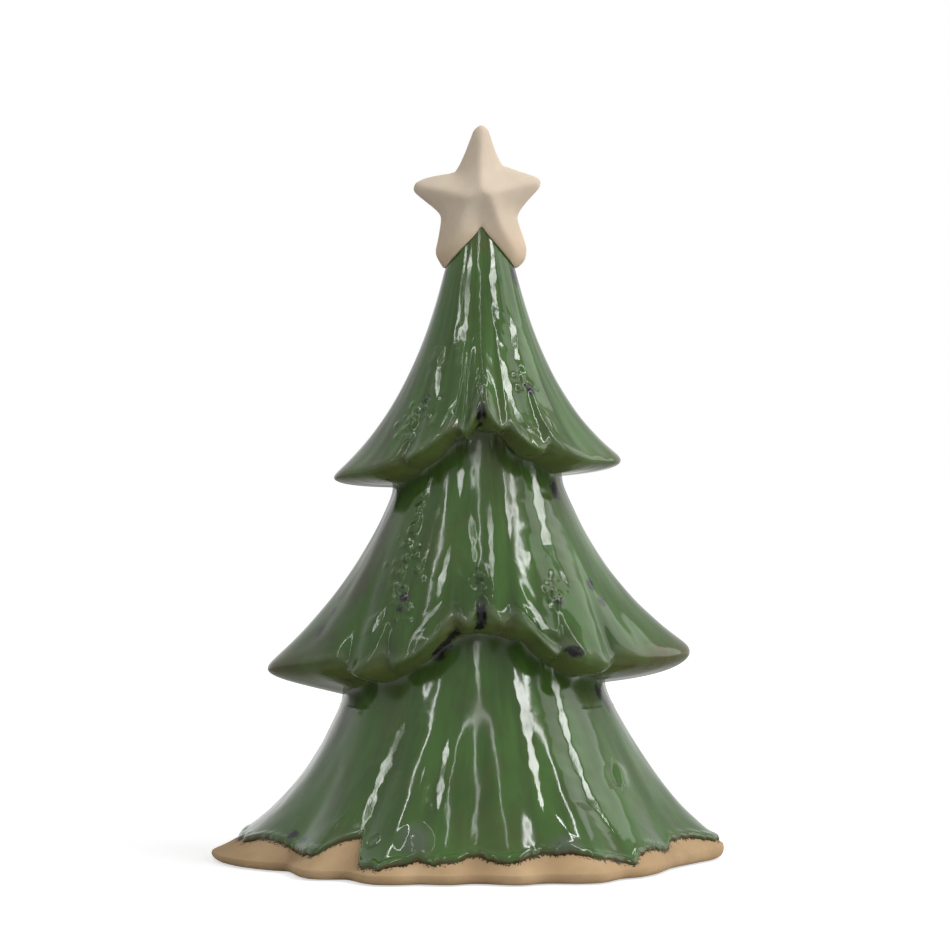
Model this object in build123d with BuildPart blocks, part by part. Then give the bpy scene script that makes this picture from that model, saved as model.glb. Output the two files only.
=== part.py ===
"""A ceramic tree in three draped tiers with a star on top.

Millimetres, +Z up, the foot on Z = 0, the front towards -Y. Azimuth 0 is the front, +90 the right.
"""

import os
from math import cos, pi, radians, sin

from build123d import *

# Foot of the tree, measured from the tree's axis
foot_left_reach = 84.0
foot_right_reach = 76.5
foot_front_reach = 71.0
foot_left_flank = 9.0
foot_right_flank = 2.0
foot_scallop = 4.6
foot_edge = 2.6
foot_round = 3.0
foot_land = 7.5
bare_front = 9.0
bare_side = 5.2
bare_lean_share = 1.25
foot_notches = (-57, -35, -14, 3.8, 15.5, 40, 58)

# Lower tier above the foot: a flare, then a taper that runs up under the middle tier
lower_neck_radius = 40.8
lower_neck_drop = 1.7
lower_spigot = 12.9
lower_taper_share = 0.5
lower_bend_share = 0.22

# Middle tier: its skirt hangs over the lower taper, and its own taper runs up under the top tier.
# A rise runs from the seat of a skirt to the seat of the next one, or to the tip
middle_seat_height = 53.5
middle_seat_rise = 18.0
middle_rise = 63.5
middle_lip_side = 7.8
middle_lip_front = 3.5
middle_left_reach = 66.2
middle_right_reach = 65.0
middle_overhang = 14.0
middle_flank = 12.0
middle_scallop = 3.4
middle_scallop_rise = 6.5
middle_neck_radius = 28.5
middle_neck_drop = 4.2
middle_spigot = 5.4
middle_taper_share = 0.45
middle_bend_share = 0.44
middle_front_bend_share = 0.24
middle_notches = (-58, -41.6, -12.3, 0, 16, 35.5, 54.6)

# Top tier: its skirt hangs over the middle taper, and its dome carries the star
top_seat_rise = 15.0
top_lip_side = 4.5
top_lip_front = 2.0
top_left_reach = 44.6
top_right_reach = 43.0
top_overhang = 13.0
top_flank = 7.5
top_scallop = 2.6
top_scallop_rise = 6.0
top_neck_radius = 10.4
top_tip_radius = 5.8
top_rise = 80.0
top_dome = 14.0
top_taper_share = 0.24
top_bend_share = 0.36
top_dome_share = 0.6
top_notches = (-49, -17, 0, 22, 45)

# Drape of the two upper skirts
horn_sharpness = 22
drape_sharpness = 8
seat_tilt = 1.9
lip_tilt = 0.5
lip_roll = 0.9
lip_bite = 2.5
lip_roll_share = 0.3
steps_per_lobe = 4
side_azimuth = 90

# Clay wall, glaze coat and the slip that joins the pieces
wall = 5.5
glaze = 0.8
glaze_gap = 0.15
joint = 0.6
joint_gap = 0.05
overrun = 4.0
neck_coat_shares = (0.9, 0.42)
bend_coat_shares = (0.88, 0.48)
line_coat_shares = (0.8, 0.6)
ridge_coat_shares = (1.0, 0.0)
roll_coat_shares = (0.85, -0.5)
seat_coat_shares = (0.3, -0.95)
tip_coat_shares = (0.5, 0.85)

# Star
star_rise = 11.4
star_reach = 25.2
star_body_radius = 10.4
star_tip_radius = 2.6
star_arm_angles = (89, 174, 240.5, 302.5, 11.5)
star_arm_shares = (0.865, 0.83, 1.0, 0.975, 0.775)
peg_radius = 3.6
peg_depth = 12.0

# The left foot is longer than the right, so the axis stands off the middle of the foot
axis_x = (foot_left_reach - foot_right_reach) / 2
tree_axis = Axis((axis_x, 0, 0), (0, 0, 1))

# Heights that follow from where the skirts sit, each tier standing on the one below
top_seat_height = middle_seat_height + middle_rise
top_tip_height = top_seat_height + top_rise
coat_drop = 2 * glaze + joint
middle_lowest = middle_seat_height - seat_tilt
middle_highest = middle_seat_height + middle_seat_rise + seat_tilt
top_lowest = top_seat_height - seat_tilt
top_highest = top_seat_height + top_seat_rise + seat_tilt
lower_neck_height = middle_lowest - coat_drop - lower_neck_drop
middle_neck_height = top_lowest - coat_drop - middle_neck_drop
top_neck_height = top_tip_height - top_dome
lower_top_height = middle_highest + lower_spigot
middle_top_height = top_highest + middle_spigot
star_height = top_tip_height + star_rise

# Castings start solid down to a core that their hollows take away
core = peg_radius / 2


def radial_plane(azimuth):
    """Upright plane through the tree's axis: local x runs outwards, local y runs up."""
    out = Vector(sin(radians(azimuth)), -cos(radians(azimuth)), 0)
    return Plane(origin=(axis_x, 0, 0), x_dir=out, z_dir=out.cross(Vector(0, 0, 1)))


def lobe_edges(notches):
    """Notches of the front half, with the far ends of the two lobes that wrap round the sides."""
    half_turn = 2 * side_azimuth
    return (-half_turn - notches[0], *notches, half_turn - notches[-1])


def lobe_bulge(azimuth, notches):
    """Nought in a notch of the hem and one in the middle of a lobe."""
    edges = lobe_edges(notches)
    for start, end in zip(edges, edges[1:]):
        if start <= azimuth <= end:
            return sin(pi * (azimuth - start) / (end - start))


def lobes(notches):
    """Azimuths of the sections of each lobe of one front half, from the left side to the right."""
    ends = (-side_azimuth, *notches, side_azimuth)
    return [
        [start + (end - start) * step / steps_per_lobe for step in range(steps_per_lobe + 1)]
        for start, end in zip(ends, ends[1:])
    ]


def hem_reach(azimuth, notches, front, flank, left, right, scallop):
    """Reach of a skirt's edge, drawn out to a horn at each side."""
    side = abs(sin(radians(azimuth)))
    horn = (left if azimuth < 0 else right) - front - flank
    envelope = front + flank * side**2 + horn * side**horn_sharpness
    return envelope - scallop * (1 - lobe_bulge(azimuth, notches))


def gathered(azimuth, side, front, tilt):
    """Value that runs from the sides to the front, where the skirt is gathered up."""
    share = cos(radians(azimuth)) ** drape_sharpness
    return side + (front - side) * share + tilt * sin(radians(azimuth))


def lower_cone(height):
    """Radius of the lower tier's taper."""
    return lower_neck_radius - lower_taper_share * (height - lower_neck_height)


def middle_cone(height):
    """Radius of the middle tier's taper."""
    return middle_neck_radius - middle_taper_share * (height - middle_neck_height)


def top_cone(height):
    """Radius of the top tier's taper."""
    return top_neck_radius - top_taper_share * (height - top_neck_height)


def middle_seat(azimuth):
    """Height at which the middle skirt meets the lower taper."""
    return gathered(azimuth, middle_seat_height, middle_seat_height + middle_seat_rise, seat_tilt)


def top_seat(azimuth):
    """Height at which the top skirt meets the middle taper."""
    return gathered(azimuth, top_seat_height, top_seat_height + top_seat_rise, seat_tilt)


def coated(points, shares, coat):
    """Points of an outline moved outwards by a coat."""
    return [(r + coat * a, z + coat * b) for (r, z), (a, b) in zip(points, shares)]


def lower_foot(azimuth):
    """Reach of the foot, and the point on the skirt where the glaze stops."""
    flank = foot_left_flank if azimuth < 0 else foot_right_flank
    reach = hem_reach(
        azimuth, foot_notches, foot_front_reach, flank, foot_left_reach, foot_right_reach, foot_scallop
    )
    height = bare_side + (bare_front - bare_side) * cos(radians(azimuth)) ** 2
    return reach, (reach - bare_lean_share * (height - foot_edge), height)


def lower_profile(azimuth, coat):
    """Glaze line, bend, neck and upper end of the glazed part of the lower skirt."""
    line = lower_foot(azimuth)[1]
    bend = line[1] + lower_bend_share * (lower_neck_height - line[1])
    cap = middle_seat(azimuth) - coat_drop
    points = (
        line,
        (lower_cone(bend), bend),
        (lower_neck_radius, lower_neck_height),
        (lower_cone(cap), cap),
    )
    shares = (line_coat_shares, bend_coat_shares, neck_coat_shares, neck_coat_shares)
    return coated(points, shares, coat)


def skirt_edge(ridge, seat):
    """Ridge of the hem, the roll of its lip and the end of the lip inside the taper below."""
    roll = (ridge[0] + lip_roll, ridge[1] - lip_roll_share * (ridge[1] - seat[1]))
    return ridge, roll, (seat[0] + joint - lip_bite, seat[1])


def middle_profile(azimuth, coat):
    """Cap, neck, bend, ridge, roll and seat of the middle skirt."""
    front = lower_cone(middle_seat(0)) + middle_overhang
    reach = hem_reach(
        azimuth, middle_notches, front, middle_flank, middle_left_reach, middle_right_reach,
        middle_scallop,
    )
    notch = middle_scallop_rise * (1 - lobe_bulge(azimuth, middle_notches))
    seat = middle_seat(azimuth)
    ridge = seat + gathered(azimuth, middle_lip_side, middle_lip_front, lip_tilt) + notch
    bend_share = gathered(azimuth, middle_bend_share, middle_front_bend_share, 0)
    bend = ridge + bend_share * (middle_neck_height - ridge)
    cap = top_seat(azimuth) - coat_drop
    points = (
        (middle_cone(cap), cap),
        (middle_neck_radius, middle_neck_height),
        (middle_cone(bend), bend),
        *skirt_edge((reach, ridge), (lower_cone(seat), seat)),
    )
    shares = (
        neck_coat_shares, neck_coat_shares, bend_coat_shares, ridge_coat_shares, roll_coat_shares,
        seat_coat_shares,
    )
    return coated(points, shares, coat)


def top_profile(azimuth, coat):
    """Tip, dome, neck, bend, ridge, roll and seat of the top skirt."""
    front = middle_cone(top_seat(0)) + top_overhang
    reach = hem_reach(
        azimuth, top_notches, front, top_flank, top_left_reach, top_right_reach, top_scallop
    )
    notch = top_scallop_rise * (1 - lobe_bulge(azimuth, top_notches))
    seat = top_seat(azimuth)
    ridge = seat + gathered(azimuth, top_lip_side, top_lip_front, lip_tilt) + notch
    bend = ridge + top_bend_share * (top_neck_height - ridge)
    dome = top_neck_height + top_dome_share * top_dome
    points = (
        (top_tip_radius, top_tip_height),
        (top_cone(dome), dome),
        (top_neck_radius, top_neck_height),
        (top_cone(bend), bend),
        *skirt_edge((reach, ridge), (middle_cone(seat), seat)),
    )
    shares = (
        tip_coat_shares, neck_coat_shares, neck_coat_shares, bend_coat_shares, ridge_coat_shares,
        roll_coat_shares, seat_coat_shares,
    )
    return coated(points, shares, coat)


def section(azimuth, strokes):
    """Closed face in a radial plane: two points make a line and three a curve."""
    with BuildSketch(radial_plane(azimuth)) as face:
        with BuildLine():
            for stroke in strokes:
                if len(stroke) == 3:
                    Bezier(*stroke)
                else:
                    Line(*stroke)
        make_face()
    return face.sketch


def closed(strokes, corners):
    """Strokes, then straight runs through the corners back to the start."""
    run = [strokes[-1][-1], *corners, strokes[0][0]]
    return [*strokes, *zip(run, run[1:])]


def coat_between(inner, outer):
    """Outline of a coat between two runs of strokes."""
    back = [tuple(reversed(stroke)) for stroke in reversed(outer)]
    return [*inner, (inner[-1][-1], back[0][0]), *back, (back[-1][-1], inner[0][0])]


def lower_strokes(azimuth, coat):
    """Glazed part of the lower skirt."""
    line, bend, neck, cap = lower_profile(azimuth, coat)
    return [(line, bend, neck), (neck, cap)]


def middle_strokes(azimuth, coat):
    """Glazed part of the middle skirt."""
    cap, neck, bend, ridge, roll, seat = middle_profile(azimuth, coat)
    return [(cap, neck), (neck, bend, ridge), (ridge, roll, seat)]


def top_strokes(azimuth, coat):
    """Glazed part of the top skirt."""
    tip, dome, neck, bend, ridge, roll, seat = top_profile(azimuth, coat)
    return [(tip, dome, neck), (neck, bend, ridge), (ridge, roll, seat)]


def lower_clay(azimuth):
    """Whole outline of the lower casting before it is hollowed."""
    reach, line = lower_foot(azimuth)
    edge = (reach, foot_edge)
    land = (reach - foot_round, 0)
    top = (lower_cone(lower_top_height), lower_top_height)
    flare = lower_strokes(azimuth, 0)[0]
    strokes = [(land, (reach, 0), edge), (edge, line), flare, (flare[-1], top)]
    return section(azimuth, closed(strokes, [(core, lower_top_height), (core, 0)]))


def middle_clay(azimuth):
    """Whole outline of the middle casting before it is hollowed."""
    flare, lip = middle_strokes(azimuth, 0)[1:]
    top = (middle_cone(middle_top_height), middle_top_height)
    strokes = [(top, flare[0]), flare, lip]
    corners = [(core, lip[-1][1]), (core, middle_top_height)]
    return section(azimuth, closed(strokes, corners))


def top_clay(azimuth):
    """Whole outline of the top casting before it is hollowed."""
    strokes = top_strokes(azimuth, 0)
    corners = [(core, strokes[-1][-1][1]), (core, top_tip_height)]
    return section(azimuth, closed(strokes, corners))


def coat_section(azimuth, strokes):
    """Outline of a glaze coat on the run of strokes."""
    return section(azimuth, coat_between(strokes(azimuth, glaze_gap), strokes(azimuth, glaze_gap + glaze)))


def turned(corners):
    """Face in the right-hand radial plane, to be turned about the tree's axis."""
    return section(side_azimuth, closed([corners[:2]], corners[2:]))


lower_bore = lower_cone(lower_top_height) - wall
middle_bore = middle_cone(middle_top_height) - wall
lower_shelf = lower_top_height + joint
middle_shelf = middle_top_height + joint
middle_mouth = middle_lowest - overrun
top_mouth = top_lowest - overrun
foot_bore = foot_front_reach - foot_scallop - foot_round - foot_land
peg_hole = peg_radius + joint

with BuildPart() as lower_tier:
    for lobe in lobes(foot_notches):
        loft([lower_clay(azimuth) for azimuth in lobe])
    mirror(about=Plane.XZ)
    hollow = [
        (0, -overrun),
        (foot_bore + lower_taper_share * overrun, -overrun),
        (lower_cone(lower_neck_height) - wall, lower_neck_height),
        (lower_bore, lower_top_height + overrun),
        (0, lower_top_height + overrun),
    ]
    revolve(turned(hollow), axis=tree_axis, mode=Mode.SUBTRACT)
lower_tier.part.label = "lower_tier"

with BuildPart() as middle_tier:
    for lobe in lobes(middle_notches):
        loft([middle_clay(azimuth) for azimuth in lobe])
    mirror(about=Plane.XZ)
    hollow = [
        (0, middle_mouth),
        (lower_cone(middle_mouth) + joint, middle_mouth),
        (lower_cone(lower_shelf) + joint, lower_shelf),
        (lower_bore, lower_shelf),
        (middle_neck_radius - wall, middle_neck_height),
        (middle_bore, middle_top_height + overrun),
        (0, middle_top_height + overrun),
    ]
    revolve(turned(hollow), axis=tree_axis, mode=Mode.SUBTRACT)
middle_tier.part.label = "middle_tier"

with BuildPart() as top_tier:
    for lobe in lobes(top_notches):
        loft([top_clay(azimuth) for azimuth in lobe])
    mirror(about=Plane.XZ)
    hollow = [
        (0, top_mouth),
        (middle_cone(top_mouth) + joint, top_mouth),
        (middle_cone(middle_shelf) + joint, middle_shelf),
        (middle_bore, middle_shelf),
        (top_neck_radius - wall, top_neck_height),
        (peg_hole, top_neck_height),
        (peg_hole, top_tip_height + overrun),
        (0, top_tip_height + overrun),
    ]
    revolve(turned(hollow), axis=tree_axis, mode=Mode.SUBTRACT)
top_tier.part.label = "top_tier"

with BuildPart() as lower_glaze:
    for lobe in lobes(foot_notches):
        loft([coat_section(azimuth, lower_strokes) for azimuth in lobe])
    mirror(about=Plane.XZ)
lower_glaze.part.label = "lower_glaze"

with BuildPart() as middle_glaze:
    for lobe in lobes(middle_notches):
        loft([coat_section(azimuth, middle_strokes) for azimuth in lobe])
    mirror(about=Plane.XZ)
    trim = [
        (0, middle_mouth),
        (lower_cone(middle_mouth) + joint, middle_mouth),
        (lower_cone(lower_shelf) + joint, lower_shelf),
        (0, lower_shelf),
    ]
    revolve(turned(trim), axis=tree_axis, mode=Mode.SUBTRACT)
middle_glaze.part.label = "middle_glaze"

with BuildPart() as top_glaze:
    for lobe in lobes(top_notches):
        loft([coat_section(azimuth, top_strokes) for azimuth in lobe])
    mirror(about=Plane.XZ)
    trim = [
        (0, top_mouth),
        (middle_cone(top_mouth) + joint, top_mouth),
        (middle_cone(middle_shelf) + joint, middle_shelf),
        (0, middle_shelf),
    ]
    revolve(turned(trim), axis=tree_axis, mode=Mode.SUBTRACT)
top_glaze.part.label = "top_glaze"

with BuildPart() as lower_joint:
    layer = [
        (lower_cone(middle_highest) + joint_gap, middle_highest),
        (lower_cone(middle_highest) + joint - joint_gap, middle_highest),
        (lower_cone(lower_shelf) + joint - joint_gap, lower_shelf - joint_gap),
        (lower_bore, lower_shelf - joint_gap),
        (lower_bore, lower_top_height + joint_gap),
        (lower_cone(lower_top_height) + joint_gap, lower_top_height + joint_gap),
    ]
    revolve(turned(layer), axis=tree_axis)
lower_joint.part.label = "lower_joint"

with BuildPart() as upper_joint:
    layer = [
        (middle_cone(top_highest) + joint_gap, top_highest),
        (middle_cone(top_highest) + joint - joint_gap, top_highest),
        (middle_cone(middle_shelf) + joint - joint_gap, middle_shelf - joint_gap),
        (middle_bore, middle_shelf - joint_gap),
        (middle_bore, middle_top_height + joint_gap),
        (middle_cone(middle_top_height) + joint_gap, middle_top_height + joint_gap),
    ]
    revolve(turned(layer), axis=tree_axis)
upper_joint.part.label = "upper_joint"

with BuildPart() as star:
    centre = Vector(axis_x, 0, star_height)
    for angle, share in zip(star_arm_angles, star_arm_shares):
        arm = Vector(cos(radians(angle)), 0, sin(radians(angle)))
        with BuildSketch(Plane(origin=centre, x_dir=arm, z_dir=(0, -1, 0))):
            Circle(star_body_radius)
            with Locations((share * star_reach - star_tip_radius, 0)):
                Circle(star_tip_radius)
            make_hull()
            split(bisect_by=Plane.XZ)
        revolve(axis=Axis(centre, arm))
    peg_length = star_height - top_tip_height + peg_depth
    with Locations((axis_x, 0, star_height - peg_length / 2)):
        Cylinder(peg_radius, peg_length)
    tip, dome, neck = top_strokes(0, glaze_gap + glaze + joint_gap)[0]
    below = top_neck_height - overrun
    socket = [
        (tip, dome, neck),
        (neck, (neck[0] + top_taper_share * overrun, below)),
        ((neck[0] + top_taper_share * overrun, below), (peg_radius, below)),
        ((peg_radius, below), (peg_radius, tip[1])),
        ((peg_radius, tip[1]), tip),
    ]
    revolve(section(90, socket), axis=tree_axis, mode=Mode.SUBTRACT)
star.part.label = "star"

with BuildPart() as star_joint:
    layer = [
        (peg_radius + joint_gap, top_tip_height - peg_depth),
        (peg_hole - joint_gap, top_tip_height - peg_depth),
        (peg_hole - joint_gap, top_tip_height),
        (peg_radius + joint_gap, top_tip_height),
    ]
    revolve(turned(layer), axis=tree_axis)
star_joint.part.label = "star_joint"

os.makedirs("parts", exist_ok=True)
for piece in (
    lower_tier, middle_tier, top_tier, lower_glaze, middle_glaze, top_glaze, lower_joint, upper_joint,
    star, star_joint,
):
    export_step(piece.part, f"parts/{piece.part.label}.step")
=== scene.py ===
"""Looks of the ceramic tree: three draped tiers in a green reactive glaze, a bare clay foot and star.

Shapes are worked out in millimetres around the tree's axis and scaled to metres when the meshes are made.
Azimuth 0 is the front (-Y), +90 the right (+X). The back mirrors the front.
"""

import bpy
import numpy as np
from mathutils import Matrix, Vector


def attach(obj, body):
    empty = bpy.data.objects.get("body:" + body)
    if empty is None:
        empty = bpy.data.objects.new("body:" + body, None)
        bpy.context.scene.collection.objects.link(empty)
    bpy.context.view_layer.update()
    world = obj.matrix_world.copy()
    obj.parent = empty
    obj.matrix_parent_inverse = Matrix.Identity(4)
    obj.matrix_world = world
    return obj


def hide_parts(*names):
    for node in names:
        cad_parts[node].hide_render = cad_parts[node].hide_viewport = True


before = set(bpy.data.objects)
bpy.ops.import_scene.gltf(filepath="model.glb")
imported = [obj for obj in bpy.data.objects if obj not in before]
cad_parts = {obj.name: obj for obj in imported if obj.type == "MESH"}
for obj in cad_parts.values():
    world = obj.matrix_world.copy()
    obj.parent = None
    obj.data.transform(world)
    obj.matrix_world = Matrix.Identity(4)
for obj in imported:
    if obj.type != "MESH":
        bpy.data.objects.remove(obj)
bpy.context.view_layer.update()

MM = 0.001
METRE = 1000
AXIS_X = 3.75
COLUMNS = 720

scene = bpy.context.scene

azimuth = np.linspace(-180, 180, COLUMNS, endpoint=False)
front = np.where(np.abs(azimuth) <= 90, azimuth, np.sign(azimuth) * 180 - azimuth)
sine = np.sin(np.radians(azimuth))
cosine = np.cos(np.radians(azimuth))


# Shape helpers

def bell(away, width):
    """One at nought, falling off to both sides over a width."""
    return np.exp(-((away / width) ** 2))


def smooth_ring(values, degrees):
    """Rounds off a ring of values by a bell of that width."""
    step = 360 / COLUMNS
    reach = int(np.ceil(3 * degrees / step))
    weights = np.exp(-0.5 * (np.arange(-reach, reach + 1) * step / degrees) ** 2)
    padded = np.concatenate([values[-reach:], values, values[:reach]])
    return np.convolve(padded, weights / weights.sum(), mode="valid")


def around(table, degrees=1.0):
    """Value at every column from a table of values by azimuth on the front half."""
    return smooth_ring(np.interp(front, list(table), list(table.values())), degrees)


def creases(notches):
    """One in the notches of a hem, falling to nought on the lobes beside them."""
    total = np.zeros(COLUMNS)
    for angle, depth, width in notches:
        total = np.maximum(total, depth * np.clip(1 - np.abs(front - angle) / width, 0, 1) ** 1.8)
    return total


def envelope(reach, flank, left, right, sharpness=22):
    """Reach of a skirt without its lobes, drawn out to a horn at each side."""
    side = np.abs(sine)
    horn = np.where(front < 0, left, right) - reach - flank
    return reach + flank * side**2 + horn * side**sharpness


def by_side(left, right, middle, power):
    """Value at every column that runs from the front's to that of each side."""
    return middle + (np.where(front < 0, left, right) - middle) * np.abs(sine) ** power


def bezier(corners, steps):
    """Grids of r and z of one curve per column, by its three or four corners."""
    s = np.asarray(steps)[None, :]
    shares = {
        3: ((1 - s) ** 2, 2 * s * (1 - s), s**2),
        4: ((1 - s) ** 3, 3 * s * (1 - s) ** 2, 3 * s**2 * (1 - s), s**3),
    }[len(corners)]
    columns = [[np.broadcast_to(np.asarray(v, float), COLUMNS)[:, None] for v in corner] for corner in corners]
    return np.array([sum(share * corner[axis] for share, corner in zip(shares, columns)) for axis in (0, 1)])


def soften(grid, times):
    """Rounds the corners of the profiles, away from their ends."""
    for _ in range(times):
        inner = 0.25 * grid[:, :-2] + 0.5 * grid[:, 1:-1] + 0.25 * grid[:, 2:]
        grid = np.hstack([grid[:, :1], inner, grid[:, -1:]])
    return grid


def soften_round(grid, times):
    """Rounds the creases between neighbouring columns."""
    for _ in range(times):
        grid = 0.25 * np.roll(grid, 1, 0) + 0.5 * grid + 0.25 * np.roll(grid, -1, 0)
    return grid


def evened(grid):
    """Mean of each point's neighbours, round the tree and along the profiles."""
    along = np.hstack([grid[:, :1], grid, grid[:, -1:]])
    return (np.roll(grid, 1, 0) + np.roll(grid, -1, 0) + along[:, :-2] + along[:, 2:]) / 4


def waves(rows, terms, low, high, tall, seed):
    """Seamless noise over columns and rows, about -1 to 1: low and high bound the waves per turn."""
    draw = np.random.default_rng(seed)
    total = np.zeros((COLUMNS, rows))
    turn = np.radians(azimuth)[:, None]
    run = np.linspace(0, 1, rows)[None, :]
    for _ in range(terms):
        m = draw.integers(low, high + 1)
        n = draw.uniform(-tall, tall)
        total += np.cos(m * turn + 2 * np.pi * n * run + draw.uniform(0, 2 * np.pi))
    return total * np.sqrt(2 / terms) * 0.6


def place(r, z):
    """Points in space of a grid of (r, z)."""
    return np.stack([AXIS_X + r * sine[:, None], -r * cosine[:, None], z], axis=-1)


def unit(vectors):
    """Vectors at length one."""
    return vectors / np.linalg.norm(vectors, axis=-1, keepdims=True)


def normals(points):
    """Unit normals of a grid that is closed round the axis, pointing outwards."""
    across = np.roll(points, -1, 0) - np.roll(points, 1, 0)
    along = np.gradient(points, axis=1)
    n = np.cross(along, across)
    n /= np.maximum(np.linalg.norm(n, axis=-1, keepdims=True), 1e-9)
    return n


def mesh_piece(name, points, faces, smooth=True):
    """Mesh object from points in millimetres."""
    data = bpy.data.meshes.new(name)
    data.vertices.add(len(points))
    data.vertices.foreach_set("co", (np.asarray(points) * MM).astype(np.float32).ravel())
    data.loops.add(faces.size)
    data.loops.foreach_set("vertex_index", faces.astype(np.int32).ravel())
    data.polygons.add(len(faces))
    data.polygons.foreach_set("loop_start", np.arange(0, faces.size, faces.shape[1], dtype=np.int32))
    data.update(calc_edges=True)
    data.validate()
    data.polygons.foreach_set("use_smooth", np.full(len(data.polygons), smooth))
    piece = bpy.data.objects.new(name, data)
    scene.collection.objects.link(piece)
    return piece


def ring_faces(rows):
    """Quads of a closed tube swept round the axis: rows run round the section."""
    i = np.arange(COLUMNS)[:, None]
    j = np.arange(rows)[None, :]
    near, far = i * rows, ((i + 1) % COLUMNS) * rows
    after = (j + 1) % rows
    return np.stack([far + j, far + after, near + after, near + j], axis=-1).reshape(-1, 4)


def give(piece, name, values):
    """Stores a value per point for the piece's material."""
    values = np.asarray(values, np.float32)
    kind = "FLOAT_VECTOR" if values.ndim == 2 else "FLOAT"
    layer = piece.data.attributes.new(name, kind, "POINT")
    layer.data.foreach_set("vector" if values.ndim == 2 else "value", values.ravel())


def enter(piece, node):
    """Puts a piece on the tree in place of a CAD node."""
    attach(piece, "root")
    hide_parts(node)


# Sizes shared with the solids. Necks and tip are radius and height

COAT = 0.95
LOWER_NECK = (40.8, 47.7)
MIDDLE_NECK = (28.5, 108.7)
TOP_NECK = (10.4, 183.0)
TOP_TIP = (5.8, 197.0)
LOWER_TOP, MIDDLE_TOP = 86.3, 139.3
# How far a flank's coat stands out and up
OUT, UP = 0.9 * COAT, 0.4 * COAT


def tapered(neck, taper):
    """Radius of a cone through a neck, by height."""
    return lambda z: neck[0] - taper * (z - neck[1])


lower_cone, middle_cone, top_cone = tapered(LOWER_NECK, 0.5), tapered(MIDDLE_NECK, 0.45), tapered(TOP_NECK, 0.24)

# Hems by azimuth: height of the ridge and of the seat, where the lip meets the tier below, depth and half width
# of notches, reach of the foot and height of the glaze's edge over it

MIDDLE_RIDGE = {
    -88.5: 58.9, -77.1: 61.1, -69.6: 62.7, -63.1: 63.9, -57.4: 65.4, -55: 60.6, -51.5: 60.3, -45.8: 63.5,
    -40.3: 69, -37.9: 63.2, -34.4: 63.5, -30.4: 64.4, -24.7: 67, -18.7: 71.6, -12.9: 78.1, -11.1: 79.2, -6.9: 75,
    -4.1: 76.8, -2.1: 79.8, 0.3: 81.5, 3.9: 79.8, 6.3: 78.6, 9.9: 75.3, 13.8: 79.8, 20.4: 74.6, 25.8: 69.5,
    31.8: 65.8, 34.1: 65.4, 35.2: 71.4, 36.2: 70.2, 40.9: 66.5, 48: 64.5, 52.8: 62.8, 54.9: 62.8, 56.8: 68.2,
    59.5: 66.5, 67.8: 64.6, 74.1: 64.4, 88.4: 65.2,
}
MIDDLE_SEAT = {
    -90: 50.5, -69: 53.2, -56: 56.6, -51.5: 55.7, -46.6: 56, -40.6: 57.1, -33.3: 60.4, -27.7: 63.5, -20: 67.1,
    -12: 69.7, -3: 71.3, 9.5: 70.8, 15.8: 69.2, 22.4: 69.2, 29.5: 65.2, 37.7: 60.7, 45.2: 58, 55.8: 57.6,
    69.6: 56.4, 90: 54.5,
}
MIDDLE_NOTCHES = (
    (-55.5, 0.9, 9), (-39.2, 1, 11), (-26.7, 0.25, 7), (-18.7, 0.2, 6), (-10.7, 0.9, 8), (0.3, 1.2, 8),
    (7.1, 0.2, 4.5), (13.8, 0.85, 8), (24, 0.3, 8), (34.8, 1, 11), (45.2, 0.25, 7), (56.2, 0.9, 10),
)
TOP_RIDGE = {
    -88.8: 119.4, -73.2: 121, -62.1: 122.2, -52.6: 123.8, -45.7: 127.6, -44.4: 125.3, -41.5: 125, -34.5: 127.2,
    -25.5: 130.6, -18.8: 133.7, -14.8: 136, -12.9: 135.3, -10.9: 132.2, -8: 133.4, -4.6: 137.5, -1.2: 141.2,
    1.2: 142.6, 4.5: 140.6, 7.4: 136.9, 10.8: 134.6, 13.6: 134.4, 16.4: 135.8, 18.1: 136.2, 22.6: 132.2,
    28.9: 129.4, 34.5: 127.8, 39.1: 129.1, 41.5: 132.6, 43.2: 131.3, 46.3: 129.1, 52.6: 126.9, 64: 125.1,
    76.5: 124.5, 88.4: 124.5,
}
TOP_SEAT = {
    -90: 115.6, -62.8: 117.5, -46.2: 120.6, -36.5: 123.8, -30.8: 126.9, -24.4: 129.3, -16.7: 130.5, -9: 130.9,
    -2: 132.9, 7.4: 132.9, 15.6: 131.7, 28.4: 128.4, 36: 124.6, 44.5: 123.2, 53.3: 121.6, 64.6: 119.9, 90: 119.2,
}
TOP_NOTCHES = (
    (-44.9, 0.85, 11), (-31.8, 0.3, 8), (-22.5, 0.25, 7), (-13.2, 0.9, 9), (1.2, 1.3, 9), (18.1, 0.85, 9),
    (29, 0.35, 8), (41.5, 1, 11),
)
FOOT_PLAN = {
    -90: 84, -78: 82, -70: 79, -64: 75.5, -60: 73, -57: 70, -52: 72, -46: 75.5, -42: 77, -38: 74, -35.5: 70.5,
    -32: 72, -28: 75.5, -24: 77.5, -19: 75.5, -15: 71.5, -11: 72, -7: 72, -2: 68, 1: 68.5, 5: 70.8, 9.5: 73,
    13.5: 70.8, 16.5: 70, 19.5: 71.5, 24: 74.5, 29: 75.5, 33: 73, 37: 70.5, 43: 71.5, 50: 70, 56: 68, 62: 66.5,
    69: 67.5, 77: 70.5, 84: 74.5, 90: 76.5,
}
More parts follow.
